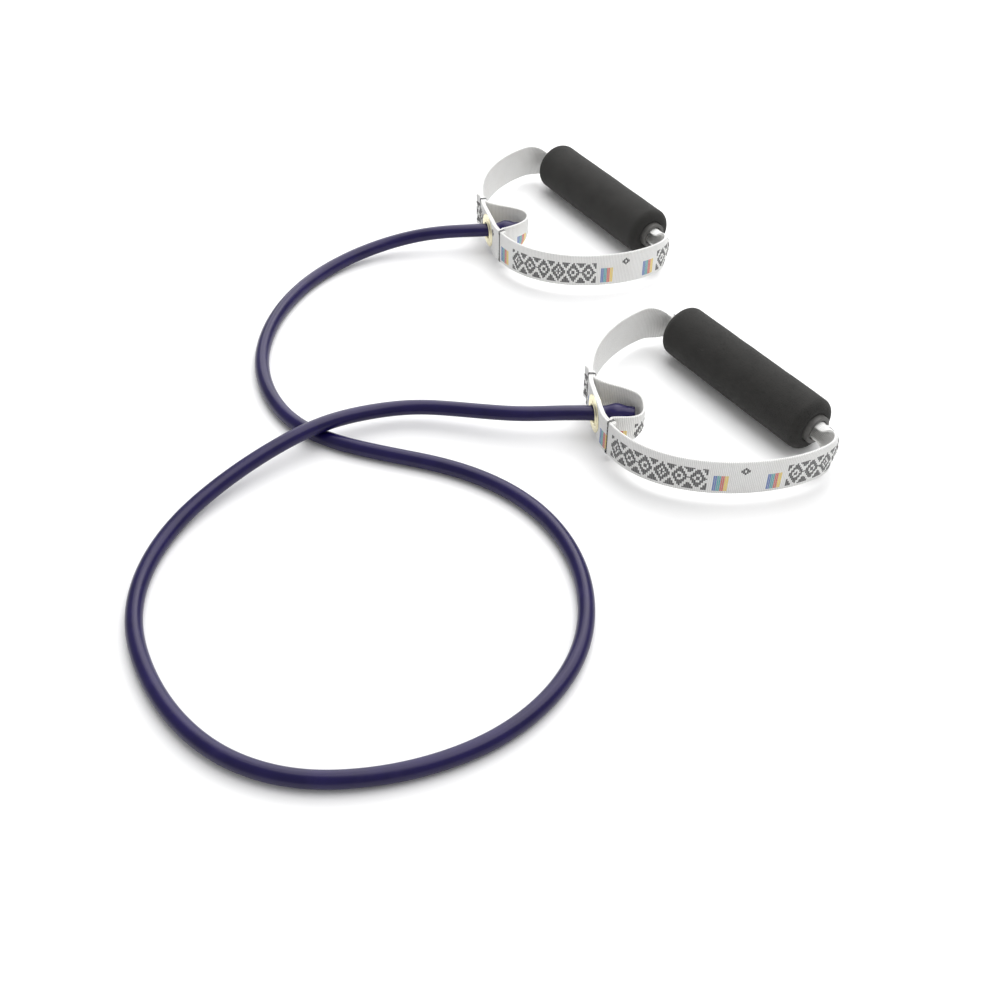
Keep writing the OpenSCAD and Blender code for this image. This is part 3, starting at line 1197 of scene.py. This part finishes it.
@dataclass
class Strip:
    """One strip of webbing on edge along a line in plan, curled where it passes through the grip."""

    sizes: WebbingSizes
    line: np.ndarray
    curl: np.ndarray
    height: float
    rib: float
    shift: float
    tuck: np.ndarray | None = None
    tuck_from: float = -1.5 * MM
    tuck_rise: float = 0.5
    face_steps: int = 14
    fine_step: float = 0.275 * MM
    hidden_step: float = 1.5 * MM

    def stations(self) -> np.ndarray:
        """Where the rings go: closely spaced, but for the stretch that the grip hides.

        Returns:
            The distances along the line.
        """
        along = distances(self.line)
        hidden = along[self.curl > CLOSED]
        total = along[-1]
        if len(hidden) < 2:
            return np.linspace(0.0, total, round(total / self.fine_step))
        start, stop = hidden[0], hidden[-1]
        return np.concatenate([
            np.linspace(0.0, start, round(start / self.fine_step)),
            np.linspace(start, stop, round((stop - start) / self.hidden_step))[1:-1],
            np.linspace(stop, total, round((total - stop) / self.fine_step)),
        ])

    def outline(self) -> tuple[np.ndarray, np.ndarray, np.ndarray]:
        """The flat section once round.

        Returns:
            The distance across the strip, the distance out of its middle as a share of half the
            thickness, and how much of the relief each point takes.
        """
        s = self.sizes
        half = s.width / 2 - s.edge
        across = np.linspace(-half, half, self.face_steps + 1)
        tip = np.radians([45.0, 90.0, 135.0])
        bulge = s.edge * np.sin(tip)
        w = np.concatenate([across, half + bulge, across[::-1], -half - bulge])
        off = np.concatenate([-np.ones(len(across)), -np.cos(tip), np.ones(len(across)), np.cos(tip)])
        flat = (np.abs(w) <= half).astype(float)
        return w, off, flat

    def build(self, name: str, finishes: Finishes) -> bpy.types.Object:
        """Makes the strip.

        Args:
            name: The piece's name.
            finishes: The object's finishes.

        Returns:
            The new piece.
        """
        s = self.sizes
        at = self.stations()
        along = distances(self.line)
        plan = sampled(self.line, at)
        heading = directions(plan)
        curl = np.interp(at, along, self.curl)[:, None]
        w, off, flat = self.outline()
        pattern = self.shift - at
        ribs = -np.cos(2 * math.pi * pattern / self.rib)[:, None] * s.rib_relief
        selvedge = (np.abs(w) > s.width / 2 - 3.2 * s.edge) * s.selvedge_relief
        thick = off * (s.thickness / 2 + flat * (ribs + selvedge))
        angle = curl * math.radians(s.curl_turn) * w / s.width
        radius = s.curl_radius / curl
        inward = radius - (radius - thick) * np.cos(angle)
        upward = (radius - thick) * np.sin(angle)
        x = plan[:, :1] + inward * heading[:, 1:]
        y = plan[:, 1:] - inward * heading[:, :1]
        rings = np.stack([x, y, self.height + upward], axis=-1)
        if self.tuck is not None:
            rings += self._drawn_in(at / at[-1], w)
        skin = Skin(rings, pattern, np.broadcast_to(w, rings.shape[:2]), plain_from=self.face_steps)
        return skin.build(name, finishes.webbing)

    def _drawn_in(self, share: np.ndarray, w: np.ndarray) -> np.ndarray:
        """How far each point moves where the lower edge is drawn in, most at the line's middle.

        Args:
            share: How far along the strip each ring is, from 0 to 1.
            w: How far across the strip each point of a ring is.

        Returns:
            The movement of every point of every ring.
        """
        s = self.sizes
        low = np.clip((self.tuck_from - w) / (self.tuck_from + s.width / 2), 0.0, 1.0) ** 1.6
        amount = (np.sin(math.pi * share) ** 2)[:, None] * low
        plan = amount[..., None] * self.tuck
        rise = amount * self.tuck_rise * np.linalg.norm(self.tuck)
        return np.concatenate([plan, rise[..., None]], axis=-1)


@dataclass
class Handle:
    """One handle: the sewn webbing with its eyelet and pocket, and the grip that turns on it."""

    side: Side
    finishes: Finishes
    webbing: WebbingSizes = field(default_factory=WebbingSizes)
    eyelet: EyeletSizes = field(default_factory=EyeletSizes)
    grip: GripSizes = field(default_factory=GripSizes)
    tube: TubeSizes = field(default_factory=TubeSizes)
    lathe_sides: int = 96
    foam_sides: int = 120
    punch_sides: int = 48
    pocket_step: float = 0.25 * MM
    pocket_softness: float = 0.8 * MM
    pocket_pattern_from: float = 16 * MM

    def __post_init__(self) -> None:
        """Works out the handle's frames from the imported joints."""
        self.drape = DRAPES[self.side]
        self.at_tube = joint_placement(f"{self.side.value}_swivel")
        self.at_grip = joint_placement(f"{self.side.value}_grip_spin")
        e = self.eyelet
        barrel_end = 2 * self.webbing.layer + e.washer_thickness + e.lip_height
        middle = (barrel_end - e.flange_height / 2) / 2
        corner = turned(np.array([-middle, 0.0]), self.webbing.skew) + [middle, 0.0]
        origin = self.at_tube.place((*corner, 0.0))
        self.at_panel = Placement(origin, self.at_tube.turn + self.webbing.skew)
        self.rib = WebbingFinish().rib

    def name(self, part: str) -> str:
        """A piece's or node's name on this handle."""
        return f"{self.side.value}_{part}"

    @property
    def axis_height(self) -> float:
        """The height of the tube's and the grip's axes."""
        return float(self.at_tube.origin[2])

    def build(self) -> None:
        """Makes every piece of the handle."""
        strap = self.name("strap")
        core = self._core()
        self._foam()
        self._strap()
        self._pocket()
        self._eyelet()
        self._washer()
        for number, row in enumerate(Row):
            thread = Stitching(self, row, self.drape.seed + number).build()
            mounted(thread, strap, Slot.THREAD, self.name(f"{row.name.lower()}_stitches"))

    # The webbing

    def panel_way(self, row: Row) -> np.ndarray:
        """The panel's direction away from the tube at a sewn margin, in its own frame."""
        bow = math.radians(self.drape.bow[row])
        return np.array([math.sin(bow), row.value * math.cos(bow)])

    def panel_point(self, row: Row, depth: float, reach: float) -> np.ndarray:
        """A point of the sewn panel, in its own frame.

        Args:
            row: Which side of the tube.
            depth: How far behind the outer face.
            reach: How far from the flat part, along the panel.

        Returns:
            Its x and y.
        """
        w = self.webbing
        bow = math.radians(self.drape.bow[row])
        radius = w.bend_length / bow
        turn = bow * min(reach / w.bend_length, 1.0)
        bend = np.array([radius - (radius - depth) * math.cos(turn),
                         row.value * (w.flat_half + (radius - depth) * math.sin(turn))])
        return bend + max(0.0, reach - w.bend_length) * self.panel_way(row)

    def _layer(self, depth: float, stop: float) -> np.ndarray:
        """One layer of the panel in plan, from its lower end to a distance above its flat part.

        Args:
            depth: How far the layer is behind the panel's outer face.
            stop: How far it runs above the flat part.

        Returns:
            Its points.
        """
        reaches = np.linspace(self.webbing.sewn_stop, 0.0, 40)
        below = [self.panel_point(Row.LOWER, depth, reach) for reach in reaches]
        above = [self.panel_point(Row.UPPER, depth, reach) for reach in np.linspace(0.0, stop, 40)]
        return np.array([self.at_panel.plan(*point) for point in (*below, *above)])

    def row_placement(self, row: Row) -> Placement:
        """The frame of a row of stitches: on the outer face, with +Y along the panel.

        Args:
            row: Which row of stitches.

        Returns:
            The frame.
        """
        origin = self.panel_point(row, 0.0, self.webbing.bend_length + self.webbing.seam)
        turn = self.at_panel.turn - row.value * self.drape.bow[row]
        return Placement(self.at_panel.place(np.array([*origin, 0.0])), turn)

    def _strap_line(self) -> tuple[np.ndarray, np.ndarray]:
        """The strap's line in plan, from its raw end behind the panel, by the grip, to its free end.

        Returns:
            The points, and the curl of the section at each.
        """
        w, g, panel, grip = self.webbing, self.grip, self.at_panel, self.at_grip
        along_grip = heading_vector(grip.turn)
        upper_way, lower_way = (turned(self.panel_way(row), panel.turn) for row in Row)
        inner, outer = 1.5 * w.layer, 0.5 * w.layer
        reach = g.core_half + w.curl_radius - g.rim_relief
        leave = panel.plan(*self.panel_point(Row.UPPER, inner, w.sewn_stop))
        enter, out = grip.plan(-reach, w.curl_radius), grip.plan(reach, w.curl_radius)
        back = panel.plan(*self.panel_point(Row.LOWER, outer, w.sewn_stop))
        (up_panel, up_grip), (low_panel, low_grip) = self.drape.upper, self.drape.lower
        upper = bezier([leave, leave + up_panel * upper_way, enter - up_grip * along_grip, enter])
        lower = bezier([out, out + low_grip * along_grip, back + low_panel * lower_way, back])
        root = panel.plan(*self.panel_point(Row.UPPER, outer, w.sewn_stop))
        knee = root + w.free_bend * w.free_end * upper_way
        tip = root + w.free_end * turned(upper_way, w.free_turn)
        flare = bezier([root - w.layer * upper_way, knee, knee, tip], 60)
        inner_panel = self._layer(inner, w.sewn_stop)[:-1]
        outer_panel = self._layer(outer, w.sewn_stop - w.layer)[1:-1]
        curls = [
            np.full(len(inner_panel), FLAT),
            self._curl(np.linalg.norm(upper - enter, axis=1)),
            self._curl(np.linalg.norm(lower - out, axis=1)),
            np.full(len(outer_panel) + len(flare), FLAT),
        ]
        return np.vstack([inner_panel, upper, lower, outer_panel, flare]), np.concatenate(curls)

    def _curl(self, away: np.ndarray) -> np.ndarray:
        """How far the section is curled at distances from where it starts to open."""
        share = np.minimum(away / self.webbing.curl_length, 1.0)
        return np.maximum(FLAT, (1 + np.cos(math.pi * share)) / 2)

    def _strap(self) -> None:
        """Makes the strap, with the eyelet's hole punched through both layers.
        """
        w = self.webbing
        line, curl = self._strap_line()
        total = distances(line)[-1]
        lower_row = total - (2 * w.stitch_reach + w.seam + w.free_end)
        strip = Strip(w, line, curl, self.axis_height, self.rib, lower_row + self.drape.pattern_shift)
        strap = strip.build(self.name("strap_webbing"), self.finishes)
        self._punch(strap)
        mounted(strap, self.name("strap"), Slot.WEBBING, self.name("strap_loop"), self.name("eyelet_panel"))

    def _punch(self, strap: bpy.types.Object) -> None:
        """Cuts the hole that the eyelet's barrel passes through.

        Args:
            strap: The strap, whose mesh is replaced.
        """
        e, depth = self.eyelet, 2 * self.webbing.layer
        radius, past = e.bore + e.wall + 0.05 * MM, 0.6 * MM
        reach = depth + past
        outline = np.array([(-past, PINHOLE), (-past, radius), (reach, radius), (reach, PINHOLE)])
        rings = lathe_rings(outline, self.at_panel, self.punch_sides)
        cutter = Skin(rings, np.zeros(len(rings)), np.zeros(rings.shape[:2]), wraps=True).build(
            "punch", [self.finishes.webbing[1]])
        punch = strap.modifiers.new("punch", "BOOLEAN")
        punch.operation = "DIFFERENCE"
        punch.solver = "EXACT"
        punch.object = cutter
        evaluated = strap.evaluated_get(bpy.context.evaluated_depsgraph_get())
        cut = bpy.data.meshes.new_from_object(evaluated)
        strap.modifiers.clear()
        strap.data = cut
        bpy.data.objects.remove(cutter)

    def _pocket_line(self) -> np.ndarray:
        """The pocket's line in plan, from the upper row round the tube's end to the lower row.

        Returns:
            Its points, finely spaced.
        """
        w, tube, panel = self.webbing, self.tube, self.at_panel
        depth, skew = 2.5 * w.layer, math.radians(w.skew)
        clear = tube.radius * math.sin(skew) + w.tail_room + w.layer / 2
        back = np.array([tube.tail_at * math.cos(skew) + clear, -tube.tail_at * math.sin(skew)])
        top, low = (self.panel_point(row, depth, w.bend_length) for row in Row)
        (above, above_turn), (below, below_turn) = w.leave_above, w.leave_below
        run_above, run_below = self.drape.pocket
        inward = [top, top + above * heading_vector(above_turn), back + [0.0, run_above], back]
        outward = [back, back - [0.0, run_below], low + below * heading_vector(below_turn), low]
        margin = np.linspace(w.sewn_stop, w.bend_length, 20)[:-1]
        local = np.vstack([
            [self.panel_point(Row.UPPER, depth, reach) for reach in margin],
            bezier(inward, 200), bezier(outward, 200)[1:],
            [self.panel_point(Row.LOWER, depth, reach) for reach in margin[::-1]],
        ])
        line = np.array([panel.plan(*point) for point in local])
        stations = np.arange(0.0, distances(line)[-1], self.pocket_step)
        return eased(sampled(line, stations), self.pocket_softness)

    def _pocket(self) -> None:
        """Makes the pocket that closes round the tube's end."""
        line = self._pocket_line()
        length = float(distances(line)[-1])
        shift = length - self.pocket_pattern_from + self.drape.pattern_shift
        strip = Strip(self.webbing, line, np.full(len(line), FLAT), self.axis_height, self.rib, shift,
                      tuck=-self.drape.tuck * heading_vector(self.at_panel.turn))
        pocket = strip.build(self.name("pocket_webbing"), self.finishes)
        mounted(pocket, self.name("strap"), Slot.WEBBING, self.name("pocket"))
        self.name("strap_webbing")

    # The metal

    def _turned_part(self, name: str, outline: list[tuple[float, float]], placement: Placement,
                     material: bpy.types.Material) -> bpy.types.Object:
        """Makes a piece turned about a placement's X axis.

        Args:
            name: The piece's name, without the handle's.
            outline: Its closed outline, as x and radius.
            placement: Where it lies.
            material: Its finish.

        Returns:
            The new piece.
        """
        rings = lathe_rings(np.array(outline), placement, self.lathe_sides)
        around = distances(np.array(outline))
        along = np.linspace(0.0, 2 * math.pi * max(r for _, r in outline), len(rings), endpoint=False)
        return Skin(rings, along, np.broadcast_to(around, rings.shape[:2]), wraps=True).build(
            self.name(name), [material])

    def _eyelet(self) -> None:
        """Makes the pressed eyelet: a domed flange with a raised bead, its barrel and the rolled lip."""
        e = self.eyelet
        back = 2 * self.webbing.layer + e.washer_thickness
        bead = 0.95 * MM
        bead_at = e.bore + bead
        dome_low, dome = bead_at + bead, (e.flange - bead_at - bead) / 2
        rim = -0.28 * e.flange_height
        outline = [
            *arc((0.0, bead_at), (e.flange_height, bead), 270, 128, 14),
            *arc((rim, dome_low + dome), (0.52 * e.flange_height, dome), 262, 100, 16)[1:],
            (rim, e.flange), (0.0, e.flange - 0.1 * MM),
            (0.0, e.bore + e.wall), (back, e.bore + e.wall),
            *arc((back + e.lip_height / 2, e.bore + e.wall + e.lip_width - e.lip_height / 2),
                 (e.lip_height / 2, e.lip_height / 2), 180, 0, 8),
            *arc((back + e.lip_height - e.wall, e.bore + e.wall), (e.wall, e.wall), 0, -90, 6),
        ]
        piece = self._turned_part("eyelet_brass", outline, self.at_panel, self.finishes.brass)
        mounted(piece, self.name("strap"), Slot.BRASS, self.name("eyelet"))

    def _washer(self) -> None:
        """Makes the washer that the eyelet's lip is rolled over."""
        e, w = self.eyelet, self.webbing
        low, high = e.bore + e.wall + 0.05 * MM, e.flange - e.washer_inset
        front, round_r = 2 * w.layer, 0.2 * MM
        back = front + e.washer_thickness
        outline = [
            (front, low), (front, high - round_r),
            *arc((front + round_r, high - round_r), (round_r, round_r), 180, 90, 4)[1:],
            *arc((back - round_r, high - round_r), (round_r, round_r), 90, 0, 4),
            (back, low),
        ]
        piece = self._turned_part("washer_brass", outline, self.at_panel, self.finishes.brass)
        mounted(piece, self.name("strap"), Slot.BRASS, self.name("eyelet_washer"))

    # The grip

    def _core(self) -> bpy.types.Object:
        """Makes the core tube inside the foam, with softened ends.

        Returns:
            The core tube.
        """
        g, soft = self.grip, 0.5 * MM
        low, high, half = g.core_bore, g.core_radius, g.core_half
        outline = [
            *arc((half - soft, high - soft), (soft, soft), 90, 0, 5),
            *arc((half - soft, low + soft), (soft, soft), 0, -90, 5),
            *arc((soft - half, low + soft), (soft, soft), -90, -180, 5),
            *arc((soft - half, high - soft), (soft, soft), 180, 90, 5),
        ]
        core = self._turned_part("core_tube", outline, self.at_grip, self.finishes.core)
        return mounted(core, self.name("grip"), Slot.CORE, self.name("grip_core"))

    def _foam(self) -> None:
        """Makes the foam grip, with the slight unevenness of moulded foam."""
        g = self.grip
        half, soft = g.foam_length / 2, g.foam_edge
        low, high = g.core_radius + 0.05 * MM, g.foam_radius
        body = np.linspace(half - soft, soft - half, 60)[1:-1]
        outline = np.array([
            (half - 0.6 * MM, low), (half, low + 0.7 * MM),
            *arc((half - soft, high - soft), (soft, soft), 0, 90, 10),
            *[(x, high) for x in body],
            *arc((soft - half, high - soft), (soft, soft), 90, 180, 10),
            (-half, low + 0.7 * MM), (0.6 * MM - half, low),
        ])
        rings = lathe_rings(outline, self.at_grip, self.foam_sides)
        rings = self._uneven(rings, outline[:, 1] > low + 1 * MM)
        along = np.linspace(0.0, 2 * math.pi * high, len(rings), endpoint=False)
        foam = Skin(rings, along, np.broadcast_to(distances(outline), rings.shape[:2]), wraps=True).build(
            self.name("foam"), [self.finishes.foam])
        mounted(foam, self.name("grip"), Slot.FOAM, self.name("foam_grip"))

    def _uneven(self, rings: np.ndarray, free: np.ndarray) -> np.ndarray:
        """Moves a skin's free points in and out by a little smooth noise.

        Args:
            rings: The foam's rings.
            free: Which points of a ring may move.

        Returns:
            The moved rings.
        """
        middle = self.at_grip.origin
        axis = np.array([*heading_vector(self.at_grip.turn), 0.0])
        out = rings - middle
        out = out - (out @ axis)[..., None] * axis
        out /= np.linalg.norm(out, axis=-1, keepdims=True)
        depth = np.array([[self._swell(Vector(point)) for point in ring] for ring in rings]) * MM
        return rings + out * (depth * free - 0.1 * MM * free)[..., None]

    def _swell(self, point: Vector) -> float:
        """The foam's unevenness at a point, in millimetres."""
        return noise.noise(point / (14 * MM)) * 0.14 + noise.noise(point / (4 * MM)) * 0.05


@dataclass
class Stitching:
    """One row of stitches: lockstitch down both faces, and the turns over each edge."""

    handle: Handle
    row: Row
    seed: int
    thread: float = 0.20 * MM
    stitch: float = 2.4 * MM
    passes: tuple[float, ...] = (-0.30 * MM, 0.28 * MM)
    wraps: tuple[float, ...] = (-0.42 * MM, 0.46 * MM)
    sides: int = 8

    def build(self) -> bpy.types.Object:
        """Makes the row as one piece of several lengths of thread.

        Returns:
            The new piece.
        """
        part = f"{self.row.name.lower()}_thread"
        w = self.handle.webbing
        random = np.random.default_rng(self.seed)
        front, back = 0.5 * (w.layer - w.thickness), 2.5 * w.layer + w.thickness / 2
        paths = [self._seam(face, out, shift, random) for face, out in ((front, -1.0), (back, 1.0))
                 for shift in self.passes]
        paths += [self._turn(front, back, end, shift, random)
                  for end in (-1.0, 1.0) for shift in self.wraps]
        pieces = [self._tube(f"{part}_{i}", path) for i, path in enumerate(paths)]
        return joined(self.handle.name(part), pieces)

    def _seam(self, face: float, out: float, shift: float, random: np.random.Generator) -> np.ndarray:
        """A wavy thread along one face: proud between the needle holes, and down into them.

        Args:
            face: How far behind the outer face the thread lies.
            out: Which way is out of the webbing, 1 or -1.
            shift: How far the thread is from the row's middle.
            random: The source of its irregularity.

        Returns:
            The thread's points, in the row's frame.
        """
        reach = self.handle.webbing.width / 2 - 0.9 * MM
        z = np.linspace(-reach, reach, 120)
        lift = np.sqrt(np.abs(np.sin(math.pi * (z + random.uniform(0, self.stitch)) / self.stitch)))
        wander = 0.12 * MM * np.sin(z / (4.3 * MM) + random.uniform(0, 6))
        return np.column_stack([face + out * (0.34 * lift - 0.22) * MM, shift + wander, z])

    def _turn(self, front: float, back: float, end: float, shift: float,
              random: np.random.Generator) -> np.ndarray:
        """A thread that comes out of one face, turns over an edge and goes into the other.

        Args:
            front: Where the outer face is.
            back: Where the inner face is.
            end: Which edge, 1 for the upper and -1 for the lower.
            shift: How far the thread is from the row's middle.
            random: The source of its irregularity.

        Returns:
            The thread's points, in the row's frame.
        """
        top = self.handle.webbing.width / 2
        slant = random.uniform(-0.5, 0.5) * MM
        deep = random.uniform(1.9, 3.4) * MM
        proud = 0.16 * MM
        near, hole, shoulder = 0.25 * MM, 0.5 * MM, 0.6 * MM
        points = np.array([
            (front + hole, top - deep - 0.3 * MM), (front + near, top - deep),
            (front - proud, top - 0.75 * deep), (front - proud, top - shoulder),
            (front + near, top + proud), ((front + back) / 2, top + 1.3 * proud),
            (back - near, top + proud), (back + proud, top - shoulder),
            (back + proud, top - 0.75 * deep), (back - near, top - deep),
            (back - hole, top - deep - 0.3 * MM),
        ])
        y = shift + np.linspace(-slant, slant, len(points))
        return through(np.column_stack([points[:, 0], y, end * points[:, 1]]), 6)

    def _tube(self, name: str, path: np.ndarray) -> bpy.types.Object:
        """One length of thread along a path in the row's frame.

        Args:
            name: The length's name.
            path: Its points.

        Returns:
            The new mesh.
        """
        line = self.handle.row_placement(self.row).place(path)
        rings = tube_rings(line, np.full(len(line), self.thread), self.sides)
        around = np.linspace(0.0, 2 * math.pi * self.thread, self.sides, endpoint=False)
        return Skin(rings, distances(line), np.broadcast_to(around, rings.shape[:2])).build(
            name, [self.handle.finishes.thread])


def joined(name: str, pieces: list[bpy.types.Object]) -> bpy.types.Object:
    """Joins several meshes into one piece of separate solids.

    Args:
        name: The joined piece's name.
        pieces: The meshes; the first one takes in the rest.

    Returns:
        The joined piece.
    """
    with bpy.context.temp_override(active_object=pieces[0], selected_editable_objects=pieces):
        bpy.ops.object.join()
    pieces[0].name = name
    pieces[0].data.name = name
    return pieces[0]


def main() -> None:
    """Builds the studio, the tube and both handles."""
    logging.basicConfig(level=logging.INFO, format="%(name)s: %(message)s")
    Studio().build()
    finishes = Finishes()
    handles = {side: Handle(side, finishes) for side in Side}
    LatexTube(handles[Side.FRONT].at_tube, handles[Side.REAR].at_tube, finishes).build()
    for handle in handles.values():
        handle.build()


if __name__ == "__main__":
    main()
